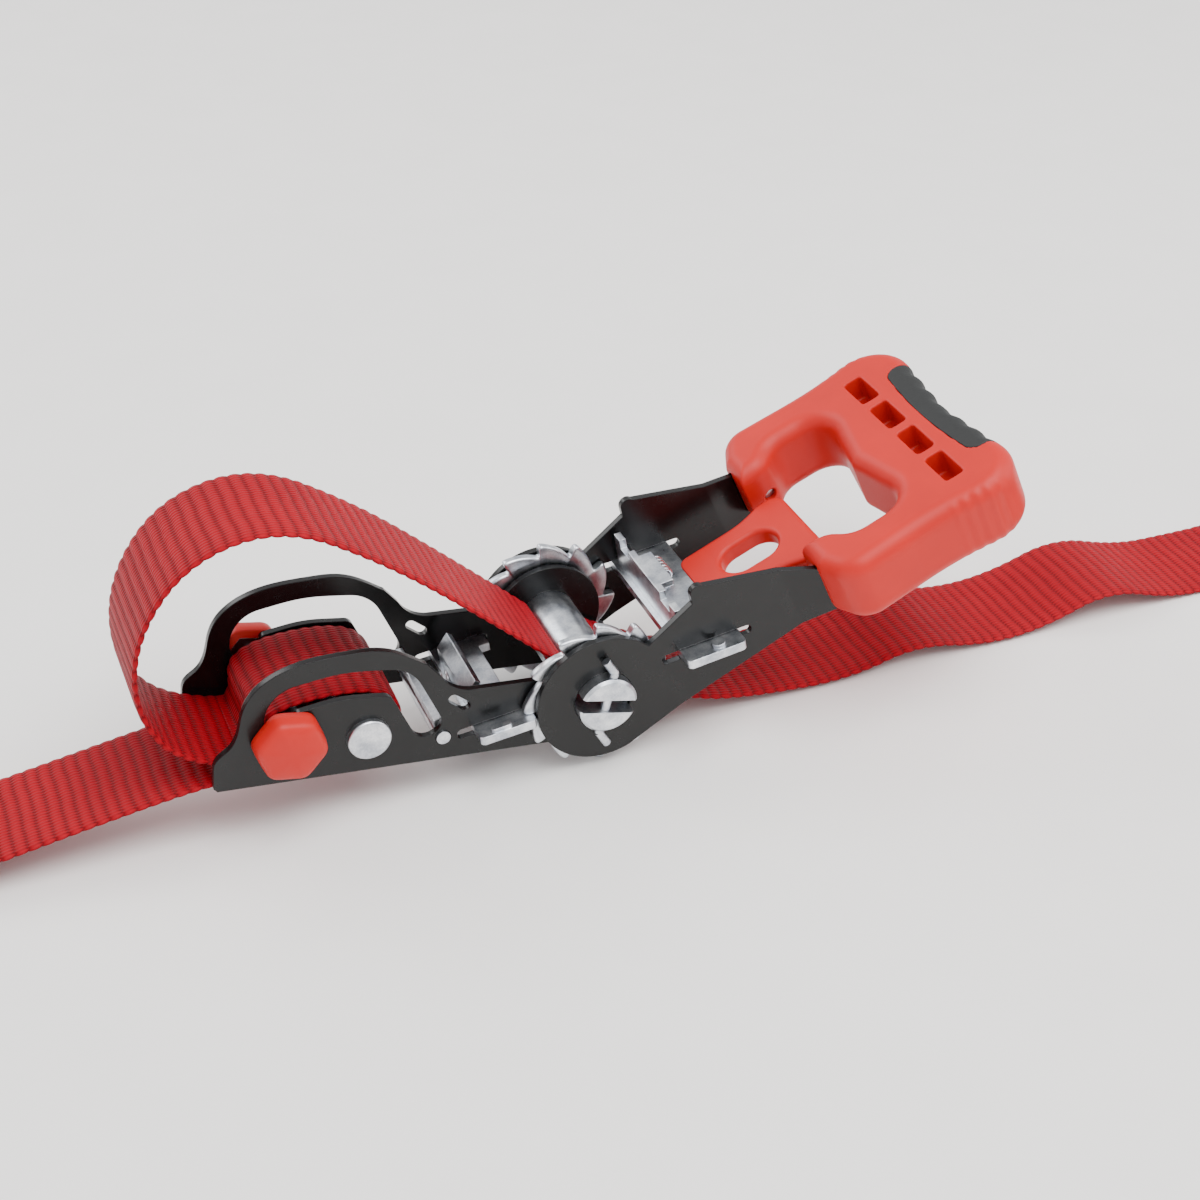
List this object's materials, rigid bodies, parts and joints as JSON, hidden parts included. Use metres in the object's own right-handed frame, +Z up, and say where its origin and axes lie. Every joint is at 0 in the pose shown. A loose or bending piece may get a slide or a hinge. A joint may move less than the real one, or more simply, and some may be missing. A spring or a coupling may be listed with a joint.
{
  "type": "ratchet tie down",
  "caption": "Ratchet tie down: webbing strap with a ratchet buckle, moulded pull handle with trigger, capped lock bolt and a coated wire hook at each end",
  "frame": {"origin": "centre of the buckle and handle's bounding box on the ground, without the webbing and what hangs on it; the ground is Z = 0", "axes": "+X from the lock bolt end of the buckle toward the handle's grip, +Y across the webbing to the far side, +Z up"},
  "size_m": [0.6554, 0.1642, 0.069],
  "materials": {
    "black_paint": "semi-gloss black coat on stamped steel sheet",
    "zinc_steel": "bright zinc plate, slightly blue, with dull patches",
    "spring_steel": "plain drawn wire",
    "red_plastic": "satin moulded plastic, orange-red",
    "black_rubber": "soft matt overmould",
    "red_webbing": "woven polyester webbing, deep red, ribbed across its width",
    "black_vinyl": "dipped vinyl coat"
  },
  "bodies": {
    "base": {"base_plate_near": "black_paint", "base_plate_far": "black_paint", "cross_pin": "zinc_steel", "pin_spacer": "zinc_steel", "spring_stop": "zinc_steel", "strap_left": "red_webbing", "strap_wrap": "red_webbing", "strap_loop": "red_webbing", "strap_right": "red_webbing", "strap_twist": "red_webbing", "strap_coil": "red_webbing", "sewn_end_left": "red_webbing", "sewn_end_right": "red_webbing", "s_hook_left": "zinc_steel", "s_hook_right": "zinc_steel", "hook_coat_left": "black_vinyl", "hook_coat_right": "black_vinyl", "holding_pawl_spring": "spring_steel"},
    "handle": {"handle_plate_near": "black_paint", "handle_plate_far": "black_paint", "grip": "red_plastic", "grip_pad": "black_rubber", "grip_pin_near": "zinc_steel", "grip_pin_far": "zinc_steel", "drive_pawl_spring": "spring_steel"},
    "drive_pawl": {"drive_pawl": "zinc_steel", "trigger": "red_plastic", "trigger_rivet_near": "zinc_steel", "trigger_rivet_far": "zinc_steel"},
    "spool": {"spool_half_upper": "zinc_steel", "spool_half_lower": "zinc_steel", "ratchet_wheel_near": "zinc_steel", "ratchet_wheel_far": "zinc_steel", "split_pin_near": "zinc_steel", "split_pin_far": "zinc_steel", "strap_in_spool": "red_webbing"},
    "holding_pawl": {"holding_pawl": "zinc_steel"},
    "lock_bolt": {"lock_bolt": "zinc_steel", "lock_nut": "zinc_steel", "bolt_spacer": "zinc_steel", "bolt_cap_near": "red_plastic", "bolt_cap_far": "red_plastic"}
  },
  "joints": [
    {"name": "handle_swing", "type": "hinge", "parent": "base", "child": "handle", "pos_m": [-0.00684, 0, 0.0172], "axis": [0, 1, 0], "range_deg": [-75, 14]},
    {"name": "drive_pawl_slide", "type": "slide", "parent": "handle", "child": "drive_pawl", "axis": [0.988, 0, 0.1547], "range_m": [0, 0.0015], "stiffness_N_per_m": 300, "springref_m": -0.002, "deforming": ["drive_pawl_spring"]},
    {"name": "spool_spin", "type": "hinge", "parent": "base", "child": "spool", "pos_m": [-0.00684, 0, 0.0172], "axis": [0, 1, 0], "range_deg": [0, 24]},
    {"name": "holding_pawl_slide", "type": "slide", "parent": "base", "child": "holding_pawl", "axis": [-0.9928, 0, -0.1201], "range_m": [0, 0.0027], "deforming": ["holding_pawl_spring"]},
    {"name": "lock_bolt_slide", "type": "slide", "parent": "base", "child": "lock_bolt", "axis": [-0.2438, 0, 0.9698], "range_m": [0, 0.004], "deforming": ["strap_wrap"]}
  ],
  "couplings": [
    {"joint": "holding_pawl_slide", "follows": "spool_spin", "m_per_rad": 0.0063}
  ]
}
